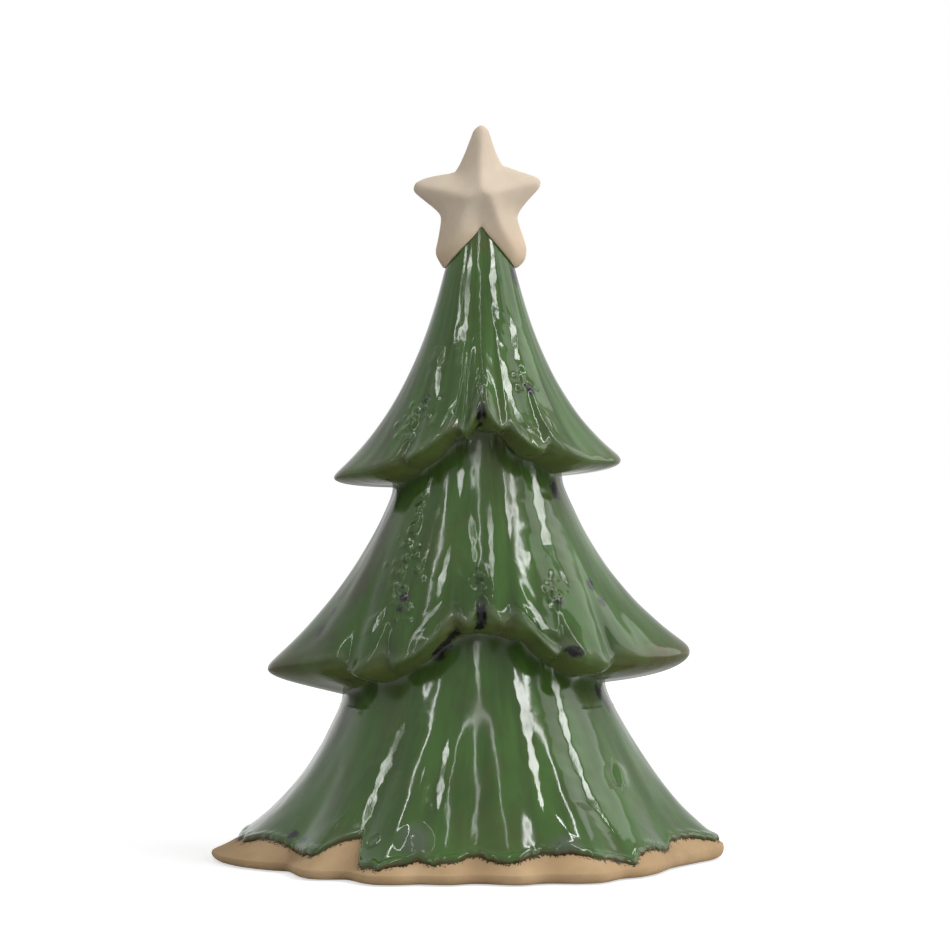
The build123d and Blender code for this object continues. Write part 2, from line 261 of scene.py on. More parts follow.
GLAZE_LINE = {
    -90: 6.4, -82: 6.2, -66: 8.5, -61: 7.4, -55: 5, -44: 6, -39.4: 10.1, -34.1: 11.6, -32.6: 7, -29.3: 4.4,
    -23.5: 4.6, -17.8: 6.3, -10: 5.7, -6.5: 5.4, -1.4: 8, 4: 6.7, 7: 6.4, 11.7: 7.5, 15.2: 8.6, 22.3: 8.2, 31: 6.4,
    36.7: 4.9, 41: 4.6, 44: 6.8, 47.3: 7.4, 60: 5.2, 66.6: 7.6, 75: 7.4, 90: 5.4,
}

LAYERS = ("dark", "pale", "thin", "crease", "lip", "edge", "painted_shade")


class Skin:
    """Outer surface of a tier's glaze: a grid of (r, z) from the top down, with layers for its material."""

    def __init__(self, r, z, ridge_row=None):
        self.r, self.z, self.ridge_row = r, z, ridge_row
        self.points = place(r, z)
        self.base = self.points.copy()
        for label in LAYERS:
            setattr(self, label, np.zeros(r.shape))

    def raise_by(self, height):
        """Moves the skin along its normals."""
        self.points = self.points + normals(self.points) * height[..., None]

    def run(self):
        """Length along each profile from its upper end."""
        steps = np.linalg.norm(np.diff(self.base, axis=1), axis=-1)
        return np.hstack([np.zeros((COLUMNS, 1)), np.cumsum(steps, 1)])

    def slope(self):
        """How far each point faces up, from its profile."""
        return np.arctan2(np.gradient(self.r, axis=1), -np.gradient(self.z, axis=1))

    def flow(self):
        """Coordinates that run with the glaze: round the tree at a fixed radius, and down it."""
        turn = np.broadcast_to(30 * np.stack([sine, cosine], -1)[:, None, :], (*self.r.shape, 2))
        return np.concatenate([turn, self.run()[..., None]], axis=-1)

    def near(self, x, z, behind=False):
        """Point of the skin's front, or back, seen at x and z."""
        gap = (self.points[..., 0] - x) ** 2 + (self.points[..., 2] - z) ** 2
        turned_away = self.points[..., 1] < 0 if behind else self.points[..., 1] > 0
        gap = gap + 1e6 * turned_away
        return self.points.reshape(-1, 3)[np.argmin(gap)]

    def pair(self, x, z, shift=None, rise=0):
        """Points at x and z on the front and the back. With a shift, the second is turned over and moved."""
        yield self.near(x, z)
        yield self.near(x if shift is None else 2 * AXIS_X - x + shift, z + rise, True)

    def spot(self, centre, radius, stretch=1.0):
        """Bell of a round or upright oval spot."""
        away = self.points - centre
        away[..., 2] /= stretch
        return np.exp(-np.sum(away**2, -1) / radius**2)

    def mark(self, layer, values):
        """Lays values over a layer where they are more than it has."""
        setattr(self, layer, np.maximum(getattr(self, layer), values))

    def tint(self, layer, centres, radius, stretch=1.0, share=1.0):
        """Marks a layer with spots."""
        for centre in centres:
            self.mark(layer, share * self.spot(centre, radius, stretch))


UPPER_ROWS, FLARE_ROWS, LIP_ROWS = 30, 190, 44
PROFILE_ROUNDING, COLUMN_ROUNDING = 120, 3
RIDGE_RISE, LIP_BULGE, SEAT_SINK, LEAST_LIP = 0.6, 3.4, 0.8, 3
# How far a coat runs on under the lip of the next tier
COVER = 3


def skirt(upper, neck, cone, under, ridge, seat, notches, *, reach, flank, sides, scallop, bends, lips):
    """Skin of an upper skirt, down to the tier below, under its lip. Bends and lips are left, right and front."""
    hollows = smooth_ring(creases(notches), 0.8)
    out = envelope(reach, flank, *sides)
    bend = ridge + by_side(*bends, 2) * (neck[1] - ridge)
    start = (neck[0] + OUT, neck[1] + UP)
    upper_rows = bezier((*upper, start), np.linspace(0, 1, UPPER_ROWS + 1)[:-1])
    s = np.linspace(0, 1, FLARE_ROWS)
    flare = bezier((start, (cone(bend) + OUT, bend + UP), (out, ridge + RIDGE_RISE)), s)
    # Creases are sharp at the hem, and soften and fade towards the neck
    soft = smooth_ring(hollows, 3.0)[:, None]
    flare[0] -= scallop * (soft * s**2 + (hollows[:, None] - soft) * s**9)
    hem = flare[0][:, -1]
    drop = ridge - seat
    seat_r = under(seat) + OUT - SEAT_SINK
    nose, inward, sag = (by_side(*three, 6) for three in zip(*lips))
    corners = (
        (hem, ridge + RIDGE_RISE), (hem + LIP_BULGE, ridge - nose * drop),
        (seat_r + inward * (hem - seat_r), seat + sag * drop), (seat_r, seat),
    )
    lip = bezier(corners, np.linspace(0, 1, LIP_ROWS + 1)[1:])
    rows = np.concatenate([upper_rows, flare, lip], axis=-1)
    r, z = (soften_round(soften(grid, PROFILE_ROUNDING), COLUMN_ROUNDING) for grid in rows)
    return Skin(r, z, UPPER_ROWS + FLARE_ROWS - 1)


top_ridge = around(TOP_RIDGE, 1.5)
top_seat = np.minimum(around(TOP_SEAT, 1.2), top_ridge - LEAST_LIP)
middle_ridge = around(MIDDLE_RIDGE, 1.3)
middle_seat = np.minimum(around(MIDDLE_SEAT, 1.2), middle_ridge - LEAST_LIP)

# Lower tier: the clay surface first, then the glaze over the part above the glaze line
foot_reach = around(FOOT_PLAN, 1.3)
foot_round = smooth_ring(foot_reach, 13)
foot_lobes = foot_reach - foot_round
foot_waves = smooth_ring(foot_lobes, 3.0)
foot_edge = around({-90: 2.2, -60: 2.8, 60: 3.2, 90: 4.6}, 4.0)
glaze_line = around(GLAZE_LINE, 0.6)
foot_bend = foot_edge + 0.22 * (LOWER_NECK[1] - foot_edge)
left_side = np.clip(-np.sin(np.radians(front)), 0, 1) ** 4
SWELL, SWELL_Z, SWELL_SPREAD = 1.8, 50, 16
SKIRT_ROWS, NECK_ROWS, CROWDING = 132, 45, 1.12
# Unevenness of the glaze's edge: seed, width in degrees and size
EDGE_WAVES = ((3, 0.6, 0.45), (4, 1.6, 0.9))
EDGE_ROLL, BEAD, BEAD_AWAY, BEAD_WIDTH = 1.3, 0.35, 1.8, 1.1


def lower_neck(z):
    """Radius of the lower cone at every column, a little fuller on the left."""
    side = left_side if np.ndim(z) < 2 else left_side[:, None]
    return lower_cone(z) + SWELL * side * bell(z - SWELL_Z, SWELL_SPREAD)


def lower_surface(s):
    """Grids of r and z of the clay from the foot's edge, s = 0, to the neck, s = 1."""
    s = np.broadcast_to(np.asarray(s, float), (COLUMNS, np.shape(s)[-1]))
    edge, bend = foot_edge[:, None], foot_bend[:, None]
    r = (1 - s) ** 2 * foot_round[:, None] + 2 * s * (1 - s) * lower_cone(bend) + s**2 * LOWER_NECK[0]
    z = (1 - s) ** 2 * edge + 2 * s * (1 - s) * bend + s**2 * LOWER_NECK[1]
    # Lobes of the foot run up the skirt as flutes that soften and fade
    flutes = foot_waves[:, None] + (foot_lobes - foot_waves)[:, None] * (1 - s) ** 4
    r = r + flutes * (1 - s) ** 1.1
    return r + (lower_neck(z) - lower_cone(z)), z


def lower_share(z):
    """Share s at which the clay surface is at height z, at every column."""
    rise = foot_bend - foot_edge
    turn = foot_edge - 2 * foot_bend + LOWER_NECK[1]
    return (-rise + np.sqrt(rise**2 + turn * np.clip(z - foot_edge, 0, None))) / turn


def lower_skin():
    """Skin of the lower tier, down to its edge over the bare foot."""
    jitter = np.zeros(COLUMNS)
    for seed, degrees, size in EDGE_WAVES:
        jitter += smooth_ring(np.random.default_rng(seed).normal(0, 1, COLUMNS), degrees) * size
    line = np.maximum(glaze_line + jitter, foot_edge + 0.8)
    begin = lower_share(line)[:, None]
    t = np.linspace(0, 1, SKIRT_ROWS) ** CROWDING
    neck_z = LOWER_NECK[1] + (middle_seat + COVER - LOWER_NECK[1])[:, None] * np.linspace(0, 1, NECK_ROWS)[1:]
    rows = (lower_surface(1 - (1 - begin) * (1 - t)), (lower_neck(neck_z), neck_z))
    r, z = np.concatenate(rows, axis=-1)
    skin = Skin(soften(r, 6)[:, ::-1].copy(), z[:, ::-1].copy())
    skin.line = line
    # Glaze ends in a rolled edge with a bead above it
    run = skin.run()
    skin.away = run[:, -1:] - run
    depth = COAT * np.sqrt(np.clip(1 - (1 - np.clip(skin.away / EDGE_ROLL, 0, 1)) ** 2, 0, 1))
    depth = depth + BEAD * bell(skin.away - BEAD_AWAY, BEAD_WIDTH)
    skin.raise_by(depth)
    return skin


dome = TOP_NECK[1] + 0.6 * (TOP_TIP[1] - TOP_NECK[1])
tip = (TOP_TIP[0] + 0.5 * COAT, TOP_TIP[1] + 0.85 * COAT)
top = skirt(
    (tip, (top_cone(dome) + OUT, dome + UP)), TOP_NECK, top_cone, middle_cone, top_ridge, top_seat, TOP_NOTCHES,
    reach=30.0, flank=9.5, sides=(45.7, 44.4), scallop=2.4, bends=(0.33, 0.29, 0.32),
    lips=((0.5, 0.92, -0.05), (0.42, 0.6, 0.12), (0.5, 0.74, 0.04)),
)
cap = top_seat + COVER
half = (cap + MIDDLE_NECK[1]) / 2
middle = skirt(
    ((middle_cone(cap) + OUT, cap), (middle_cone(half) + OUT, half)), MIDDLE_NECK, middle_cone, lower_neck,
    middle_ridge, middle_seat, MIDDLE_NOTCHES,
    reach=41.2, flank=14.5, sides=(67.4, 66.4), scallop=3.2, bends=(0.44, 0.38, 0.24),
    lips=((0.32, 0.42, 0.36), (0.42, 0.62, 0.1), (0.5, 0.74, 0.04)),
)
lower = lower_skin()
SKINS = {"top": top, "middle": middle, "lower": lower}
SEATED = ((lower, middle_seat), (middle, top_seat))

# Glaze pools where a tier runs in under the lip of the next one
POOL_DEPTH, POOL_REACH = 1.2, 2.0
for skin, seat in SEATED:
    below = np.clip(seat[:, None] - skin.z, -1, 30)
    pool = np.exp(-np.clip(below, 0, None) / POOL_REACH)
    skin.raise_by(POOL_DEPTH * pool * (below > -1))

# Long soft flutes and the unevenness of a poured glaze: height, what the waves take, and their first seed
UNEVEN = ((0.025, 40, 24, 44, 0.6, 11), (0.2, 30, 7, 18, 0.5, 21), (0.025, 60, 16, 44, 7, 31))
for number, skin in enumerate(SKINS.values()):
    rows = skin.r.shape[1]
    size = np.clip(skin.r / 40, 0.2, 1.2)
    skin.raise_by(size * sum(height * waves(rows, *terms, seed + number) for height, *terms, seed in UNEVEN))

# A rounded rib down the middle of the lower tier's front and back
RIB_X, RIB_WIDTH, RIB_HEIGHT, RIB_END, RIB_FADE = 2.6, 4.5, 0.4, 44, 10
rib = bell(lower.points[..., 0] - RIB_X, RIB_WIDTH) * np.clip((lower.z - RIB_END) / RIB_FADE, 0, 1)
lower.raise_by(RIB_HEIGHT * rib)

# Strip lamps: name, side, middle, direction of their length, width and length in metres, and power
STRIPS = (
    ("right_strip", "right", (0.5, -0.145, 0.9), (0, 0.68, 0.73), 0.048, 1.03, 4.6),
    ("right_low", "right", (0.712, -0.742, 0.495), (-0.133, 0.351, 0.927), 0.038, 0.68, 2.0),
    ("left_strip", "left", (-0.48, -0.145, 0.9), (0, 0.68, 0.73), 0.03, 1.03, 2.5),
    ("left_low", "left", (-0.7, -0.742, 0.495), (0.133, 0.351, 0.927), 0.02, 0.68, 1.0),
    ("front_strip", "front", (-0.04, -0.62, 0.88), (0, 0.68, 0.73), 0.016, 0.75, 1.05),
)
TREE = (0.004, 0.0, 0.11)
CAMERA = (0.00218, -1.0, 0.1197)


def mirrored(skin, side):
    """Azimuth that each point of a skin faces, at its own slope, when it mirrors a side's lamps to the front."""
    seen = unit(METRE * np.array(CAMERA) - skin.points)
    slope = skin.slope()
    best = np.full(skin.r.shape, np.inf)
    facing = np.zeros(skin.r.shape)
    for _, lamp_side, centre, along, _, length, _ in STRIPS:
        if lamp_side != side:
            continue
        back = unit(np.subtract(centre, TREE))
        along = unit(np.array(along) - back * back.dot(along))
        for share in np.linspace(-0.5, 0.5, 21):
            half = unit(METRE * (np.array(centre) + share * length * along) - skin.points) + seen
            rise = np.arctan2(half[..., 2], np.hypot(half[..., 0], half[..., 1]))
            gap = np.abs(rise - slope)
            facing = np.where(gap < best, np.arctan2(half[..., 0], -half[..., 1]), facing)
            best = np.minimum(gap, best)
    return facing


# Flats on the flutes of a tier that catch a side's lamps: half width, then x and z of points from the top down
FLATS = {
    ("top", "left"): (
        (0.8, (1, 189), (0, 179), (-0.6, 166.6), (-2.2, 156.6), (-3.1, 146.6), (-4, 142.2), (-8.4, 134.1)),
        (1.1, (-7.1, 159.7), (-9, 152.8), (-9.6, 144.1)), (0.6, (-12.8, 144.7), (-19.6, 131.6)),
    ),
    ("top", "front"): (
        (0.6, (3.6, 151.6), (3.6, 145.4)), (0.8, (2.2, 154.7), (-0.3, 140.4)),
    ),
    ("top", "right"): (
        (1, (7.8, 190), (7.7, 179), (8.9, 166.6), (10.3, 159), (11.3, 151.6), (13.1, 142.9), (16.5, 135.4),
        (23, 130.2)), (1.1, (12.5, 170.3), (13.8, 166.6), (15.3, 155.3), (17.8, 150.6)),
        (0.6, (20.9, 142.9), (26.5, 133.5)),
    ),
    ("middle", "left"): (
        (1.1, (-2, 127.3), (-2.4, 112.4)), (0.7, (-6.6, 123.6), (-7.5, 114.2)),
        (0.9, (-8.4, 111.8), (-13.3, 93.3)), (0.9, (-11.2, 119), (-14.5, 105.5), (-21.2, 84.6)),
        (1.3, (-5.4, 97.6), (-9, 83)), (1.1, (-8.4, 80.9), (-16.9, 70.6)), (1.1, (-24.5, 80.3), (-29.3, 71.6)),
    ),
    ("middle", "front"): (
        (1.2, (1, 107.6), (2.2, 93.3)), (0.7, (2.8, 129), (2.8, 119.7)), (0.9, (6.7, 110.9), (7.6, 87.9)),
    ),
    ("middle", "right"): (
        (1, (11, 129), (11.9, 121.2), (12.8, 101.5)), (1.5, (14.6, 128.2), (16.2, 115.2), (18.5, 93.9)),
        (1.5, (19.6, 123), (24.3, 98.5), (30, 87)), (1.6, (19.4, 80.3), (23.4, 73.3), (28.2, 68.8)),
    ),
    ("lower", "left"): (
        (1.6, (-19, 45.2), (-27.6, 25.3), (-31.7, 13.4)), (1.4, (-5.8, 40.7), (-7.6, 30.7), (-9, 18.9)),
        (0.6, (-12.2, 34.5), (-15.8, 21.7)), (0.6, (-35.8, 18.9), (-44.9, 8)),
    ),
    ("lower", "front"): (
        (0.9, (2.2, 69), (3.1, 56.1)), (0.8, (3.7, 27), (0.4, 9.8)),
    ),
    ("lower", "right"): (
        (1.4, (14.2, 60.7), (16.4, 50.7), (18.8, 38), (21, 27), (22.4, 19.7)), (0.7, (24, 22), (30.5, 13.2)),
        (1.3, (25.6, 60.7), (29.2, 44.3), (31.5, 36.2), (36.9, 22.5), (44.2, 12.5)),
        (1, (44.2, 32.5), (46.4, 25.3)),
    ),
}
# Millimetres over which flats end, run out to their sides and narrow, and their greatest depth
FADE, SPREAD, TAPER, DEEPEST = 3.0, 4.0, 8.0, 1.2
# Radians: how far flats turn, the slope above which there are none, and how far they waver
MOST_TURN, STEEPEST = 0.5, 1.2
WAVER = {"left": 0.0045, "front": 0.003, "right": 0.0045}
FRONT_HALF = np.abs(azimuth) < 88
FRONT_COLUMNS = np.where(FRONT_HALF)[0]
BEHIND = (COLUMNS // 2 - np.arange(COLUMNS)) % COLUMNS
facing = {(name, side): mirrored(skin, side) for name, skin in SKINS.items() for side in WAVER}
polar = np.radians(azimuth)[:, None]


def at_line(gap, level, *grids):
    """Values of grids, row by row, where the gap from a line reaches a level."""
    found = [np.zeros(gap.shape[1]) for _ in grids]
    for row in range(gap.shape[1]):
        middle_column = FRONT_COLUMNS[np.argmin(np.abs(gap[FRONT_COLUMNS, row] - level))]
        near = np.arange(middle_column - 6, middle_column + 7)
        near = near[np.argsort(gap[near, row])]
        for values, grid in zip(found, grids):
            values[row] = np.interp(level, gap[near, row], grid[near, row])
    return found


def cut_flat(number, name, side, width, points):
    """Flattens a skin along a line on its front, and behind it, so that the line mirrors a side's lamps."""
    skin = SKINS[name]
    xs, zs = np.array(points).T
    x, z = skin.points[..., 0], skin.points[..., 2]
    reach = np.hypot(x - AXIS_X, skin.points[..., 1])
    first, last = (xs[1] - xs[0]) / (zs[1] - zs[0]), (xs[-1] - xs[-2]) / (zs[-1] - zs[-2])
    line = np.interp(z, zs[::-1], xs[::-1])
    line = line + first * np.clip(z - zs[0], 0, FADE) - last * np.clip(zs[-1] - z, 0, FADE)
    gap = (x - line) / np.clip(np.abs(cosine), 0.35, 1)[:, None]
    heights, reaches, aims, turns = at_line(gap, 0, z, reach, facing[name, side], polar + 0 * z)
    order = np.argsort(heights)
    line_reach, aim, turn = (np.interp(z, heights[order], values[order]) for values in (reaches, aims, turns))
    aim = aim + WAVER[side] * (np.sin(0.9 * z + number) + np.sin(0.41 * z + 2 * number))
    aim = turn + np.clip(aim - turn, -MOST_TURN, MOST_TURN)
    wide = width * (1 + 0.25 * np.sin(0.55 * z + 3 * number) + 0.15 * np.sin(1.3 * z + number))
    taper = np.clip(np.minimum(zs[0] - z, z - zs[-1]) / min(TAPER, 0.45 * (zs[0] - zs[-1])), 0, 1)
    wide = wide * (0.25 + 0.75 * np.sqrt(taper))
    flat = line_reach * np.cos(turn - aim) / np.cos(np.clip(polar - aim, -1.3, 1.3)) - reach
    left, right = (at_line(gap / wide, end, flat)[0][None, :] for end in (-1, 1))
    past = np.clip(np.abs(gap) - wide, 0, None)
    flat = np.where(past > 0, np.where(gap > 0, right, left), flat) * bell(past, SPREAD)
    ends = np.clip(1 - np.clip(np.maximum(z - zs[0], zs[-1] - z), 0, None) / FADE, 0, 1)
    flat = np.clip(flat, -DEEPEST, DEEPEST) * ends**2 * (3 - 2 * ends) * FRONT_HALF[:, None]
    slope = skin.slope()
    flat = flat * np.cos(np.clip(slope, 0, STEEPEST)) * (slope < STEEPEST)
    skin.raise_by(flat + flat[BEHIND])


for number, (where, width, *points) in enumerate((key, *flat) for key, flats in FLATS.items() for flat in flats):
    cut_flat(number, *where, width, points)

# Blisters and craters of each tier: x, z, radius, height, darkness
BLISTERS = {
    "top": (
        (-17.5, 137, 1.5, 0.7, 0.2), (-15, 139.5, 1, 0.6, 0.4), (-12.8, 143, 0.9, 0.5, 0.7),
        (-13.5, 140, 0.8, 0.5, 0.2), (-17, 141.5, 1, 0.5, 0), (-19.5, 133.6, 1.5, 0.8, 0.2),
        (-16.8, 131.2, 1.4, 0.8, 0), (-14.6, 133.8, 1, 0.6, 0.3), (-18.3, 135.6, 0.8, -0.5, 0.5),
        (16.6, 149.5, 1.2, 0.6, 0.3), (18.2, 147.3, 1.2, 0.7, 0.7), (16.9, 146, 0.9, 0.5, 0.2),
    ),
    "middle": (
        (-14.5, 113.5, 0.9, 0.5, 0.2), (-15.4, 108, 0.8, 0.5, 0), (-17, 103, 1.1, 0.6, 0.3),
        (-18.5, 98.5, 1, 0.6, 0.2), (-19.4, 94.5, 1.2, 0.6, 0.3), (-20.8, 90, 1.1, 0.6, 0.2),
        (-22.6, 86, 1.3, 0.7, 0.3), (-19.8, 86, 1, -0.6, 0.6), (-19.2, 82.5, 1.3, 0.7, 0.9),
        (-20.3, 79.4, 1.2, 0.7, 0.8), (-21.8, 75.5, 1.2, 0.7, 0.4), (-16.2, 95, 0.9, 0.5, 0.2),
        (-15.4, 90.4, 1, 0.5, 0.3), (3.2, 89.5, 1.3, 0.7, 0.3), (2.6, 87, 1.1, -0.6, 0.5), (24.6, 87, 1, 0.6, 0.4),
        (25.8, 84, 1.2, 0.7, 0.5), (27.6, 81.4, 1.4, 0.8, 0.7),
    ),
}
# Chains and clusters of small blisters: tier, from x and z, to x and z, scatter, how many
CLUSTERS = (
    ("top", -19.5, 132.5, -11.5, 142.5, 2.2, 34), ("top", 15.5, 150.5, 19.5, 144.5, 1.6, 14),
    ("middle", -11.2, 120, -17.5, 101, 0.9, 22), ("middle", -17.5, 101, -22.5, 85, 1.6, 32),
    ("middle", -21.5, 84.5, -18.5, 76.5, 1.3, 18), ("middle", -13.5, 99, -15, 88, 0.9, 14),
    ("middle", 2.8, 91.5, 3.8, 85.5, 1.2, 14), ("middle", 23.8, 89, 28, 80.5, 1.3, 18),
)
blisters = {name: list(spots) for name, spots in BLISTERS.items()}
draw = np.random.default_rng(5)
for name, x0, z0, x1, z1, scatter, count in CLUSTERS:
    for share in np.sort(draw.uniform(0, 1, count)):
        x, z = x0 + (x1 - x0) * share, z0 + (z1 - z0) * share
        x, z = x + scatter * draw.normal(), z + scatter * draw.normal()
        radius = draw.uniform(0.5, 1.2)
        blisters[name].append((x, z, radius, draw.choice((0.36, 0.3, -0.28)) * radius, draw.uniform(0, 0.45)))
for name, spots in blisters.items():
    skin = SKINS[name]
    relief = np.zeros(skin.r.shape)
    for x, z, radius, height, dark in spots:
        centres = list(skin.pair(x, z, 3, 2))
        for centre in centres:
            relief += np.clip(height, -0.35, 0.45) * skin.spot(centre, radius)
        skin.tint("dark", centres, radius * 1.5, share=dark)
    skin.raise_by(np.clip(relief, -0.45, 0.7))


def tint_skins(layer, table, *turn):
    """Tints a layer of the skins with spots of each tier: x, z, radius, stretch and, if not one, share."""
    for name, spots in table.items():
        for x, z, *size in spots:
            SKINS[name].tint(layer, SKINS[name].pair(x, z, *turn), *size)


# Pools of near-black glaze
POOLS = {
    "top": (
        (3.9, 138.2, 2.1, 2), (3.4, 134.8, 1.5, 1.2), (14.6, 182, 2.6, 1.6), (-7, 183.2, 1.5, 1.5),
        (19.4, 146, 1.8, 1.3),
    ),
    "middle": (
        (4, 77.5, 2.3, 2), (3.4, 73.8, 1.9, 1.2), (-4.4, 71.4, 3, 1.3), (-6.6, 68.8, 3.2, 1.2),
        (-9.2, 66.2, 2.8, 1), (27, 114.8, 3, 1.3), (-41.5, 77.6, 1.7, 1.6), (-45.5, 71.4, 2.2, 1.4),
        (37.5, 86, 1.8, 1.6), (40.8, 81, 2, 1), (32, 66.4, 3.4, 0.6),
    ),
    "lower": (
        (-6.2, 68.4, 2.4, 1.2), (-9.2, 65.4, 2.8, 1), (40.5, 52.4, 2.6, 1.6), (-53, 10.4, 2.4, 0.9),
        (-49.5, 9.4, 2, 0.9), (42.8, 48.5, 1.8, 1.8),
    ),
}
tint_skins("dark", POOLS, -4, 1)

# A thick lens of glaze that ran down to the foot and a grey patch beside it: x, z, radius, stretch, height
LENSES = ((-15.5, 12.0, 5.0, 1.5, 1.1), (29.0, 10.5, 4.6, 0.9, 0.5))
for x, z, radius, stretch, height in LENSES:
    for centre in lower.pair(x, z):
        swell = lower.spot(centre, radius, stretch)
        lower.raise_by(height * np.clip(1.6 * swell - 0.4, 0, 1))
        lower.mark("pale", np.clip(1.5 * swell - 0.2, 0, 1))
# Rims of burst bubbles: skin, x, z, radius
for skin, x, z, radius in ((lower, -28.3, 11.4, 2.2), (middle, -19.9, 84.6, 1.5)):
    away = np.linalg.norm(skin.points - skin.near(x, z), axis=-1)
    skin.raise_by(0.45 * bell(away - radius, 0.5))

# Folds of the relief are evened out. The last rows are left, where the glaze rolls in over its edge
FOLD, FOLD_REACH, FOLD_ROUNDS, BEAD_ROWS = 0.3, 4, 60, 7
for skin in SKINS.values():
    upright = normals(skin.base)
    for _ in range(FOLD_ROUNDS):
        folded = (np.sum(upright * normals(skin.points), -1) < FOLD).astype(float)
        folded[:, -BEAD_ROWS:] = 0
        if not folded.any():
            break
        for _ in range(FOLD_REACH):
            folded = np.maximum(folded, evened(folded) > 0)
        share = folded[..., None]
        skin.points = skin.points + share * (skin.base + evened(skin.points - skin.base) - skin.points)

# Where the glaze is thin: at the horns and at the very edge over the foot. Along the ridges of the hems a painted
# highlight, in their notches painted shade, and on their lips an olive tint that is partly painted light
THIN_REACH, RIDGE_HIGHLIGHT, CREASE_REACH, LIP_BEGIN, LIP_BLEND = 7, 1.2, 9, 2.2, 1.1
for skin, notches in ((top, TOP_NOTCHES), (middle, MIDDLE_NOTCHES)):
    run = skin.run()
    past_ridge = run - run[:, skin.ridge_row:skin.ridge_row + 1]
    from_ridge = np.abs(past_ridge)
    horn = np.abs(np.sin(np.radians(front)))[:, None] ** 30
    skin.thin = horn * bell(from_ridge, THIN_REACH) * 0.9
    # Painted highlight: a pale line along each ridge, weaker at the horns
    skin.edge = bell(from_ridge, RIDGE_HIGHLIGHT) * (1 - 0.7 * horn)
    # Painted shade in the notches of the hems, fading away from the ridge
    skin.crease = np.clip(creases(notches)[:, None], 0, 1) ** 2 * bell(from_ridge, CREASE_REACH)
    # Olive on the lips, made lighter to lift the shade beneath the hems: partly painted light
    skin.lip = 1 / (1 + np.exp(-(past_ridge - LIP_BEGIN) / LIP_BLEND))
lower.thin = bell(lower.away, 0.8)
# Painted shade: dull olive over the left flank, the side that gets less light
LEFT_FLANK_SHADE = {
    "top": ((-18, 150, 6, 2), (-26, 134, 6, 1.2)),
    "middle": ((-34, 84, 9, 1.6), (-28, 100, 7, 1.6), (-43, 72, 8, 1)),
    "lower": ((-44, 42, 9, 1.4), (-56, 24, 9, 1), (-62, 14, 7, 0.8)),
}
tint_skins("painted_shade", LEFT_FLANK_SHADE)
# Rust-brown spots
RUST = {
    "top": ((-38.5, 120, 5, 1, 0.9), (-24, 122.5, 4.5, 1, 0.5), (3.75, 194, 5.5, 1, 0.6), (-6, 133, 3, 1, 0.5)),
    "middle": (
        (62.5, 62.6, 5, 1), (60, 63, 6, 1), (50, 60.5, 4.5, 1, 0.7), (-37, 56.5, 2, 1), (11, 73.5, 2.5, 1, 0.6),
        (-2, 74.5, 2.5, 1, 0.5),
    ),
}
tint_skins("thin", RUST)
# Painted highlight: a pale line where a tier comes out from under a hem. Painted shade below it
SEAM_HIGHLIGHT_SHARE, SEAM_HIGHLIGHT_DROP, SEAM_HIGHLIGHT_WIDTH, UNDER_HEM_SHADE, UNDER_HEM_SHADE_REACH = 0.6, 0.6, 0.8, 0.65, 9
for skin, seat in SEATED:
    skin.mark("edge", SEAM_HIGHLIGHT_SHARE * bell(skin.z - seat[:, None] + SEAM_HIGHLIGHT_DROP, SEAM_HIGHLIGHT_WIDTH))
    below = np.clip(seat[:, None] - skin.z, 0, None)
    skin.mark("painted_shade", UNDER_HEM_SHADE * bell(below, UNDER_HEM_SHADE_REACH))

# Rows of a coat's hidden inner side
INNER_ROWS = 88


def coat_piece(name, skin, node):
    """Closed shell of glaze between its skin and the clay."""
    outer = skin.points
    picks = np.unique(np.linspace(0, outer.shape[1] - 1, INNER_ROWS).astype(int))
    under = skin.base if skin is lower else skin.points - normals(skin.base) * COAT
    inner = under[:, picks[::-1]]
    loop = np.hstack([outer, inner])
    piece = mesh_piece(name, loop.reshape(-1, 3), ring_faces(loop.shape[1]))
    take = np.concatenate([np.arange(outer.shape[1]), picks[::-1]])
    for label in LAYERS:
        give(piece, label, getattr(skin, label)[:, take].ravel())
    give(piece, "flow", skin.flow()[:, take].reshape(-1, 3))
    enter(piece, node)
    return piece


coats = [coat_piece(f"{name}_coat", skin, f"{name}_glaze") for name, skin in SKINS.items()]


def ring_piece(name, r, z, node):
    """Closed piece from a closed section of (r, z) at every column."""
    piece = mesh_piece(name, place(r, z).reshape(-1, 3), ring_faces(r.shape[1]))
    enter(piece, node)
    return piece


def hollow_rows(corners, count=10):
    """Grids of r and z of straight runs between the corners of a hollow."""
    corners = np.array(corners)[..., None]
    share = np.linspace(0, 1, count, endpoint=False)
    runs = [start + (end - start) * share for start, end in zip(corners, corners[1:])]
    rows = np.hstack([*runs, corners[-1]])
    return np.broadcast_to(rows[:, None, :], (2, COLUMNS, rows.shape[1]))


# Castings: what shows is the foot, and the hollow from below
SOLE_INNER, SOLE_ROUND = 56.15, 2.6
sole_outer = foot_reach - SOLE_ROUND
sole_turn = bezier(
    ((sole_outer, 0.0), (foot_reach + 0.3, 0.0), (foot_reach + 0.5, 0.6 * foot_edge), (foot_reach, foot_edge)),
    np.linspace(0, 1, 16)[:-1],
)
sole_r = SOLE_INNER + (sole_outer - SOLE_INNER)[:, None] * np.linspace(0, 1, 8)[None, :-1]
hollow = hollow_rows(((17.8, LOWER_TOP), (35.3, LOWER_NECK[1]), (SOLE_INNER, 0.0)))
face = lower_surface(np.linspace(0, 1, 90) ** 1.2)
neck_z = np.broadcast_to(np.linspace(LOWER_NECK[1], LOWER_TOP, 12)[1:], (COLUMNS, 11))
rows = (hollow[..., :-1], (sole_r, np.zeros_like(sole_r)), sole_turn, face, (lower_neck(neck_z), neck_z))
casting_r, casting_z = np.concatenate(rows, axis=-1)
foot = ring_piece("lower_casting", casting_r, casting_z, "lower_tier")
give(foot, "line", (casting_z - lower.line[:, None]).ravel())
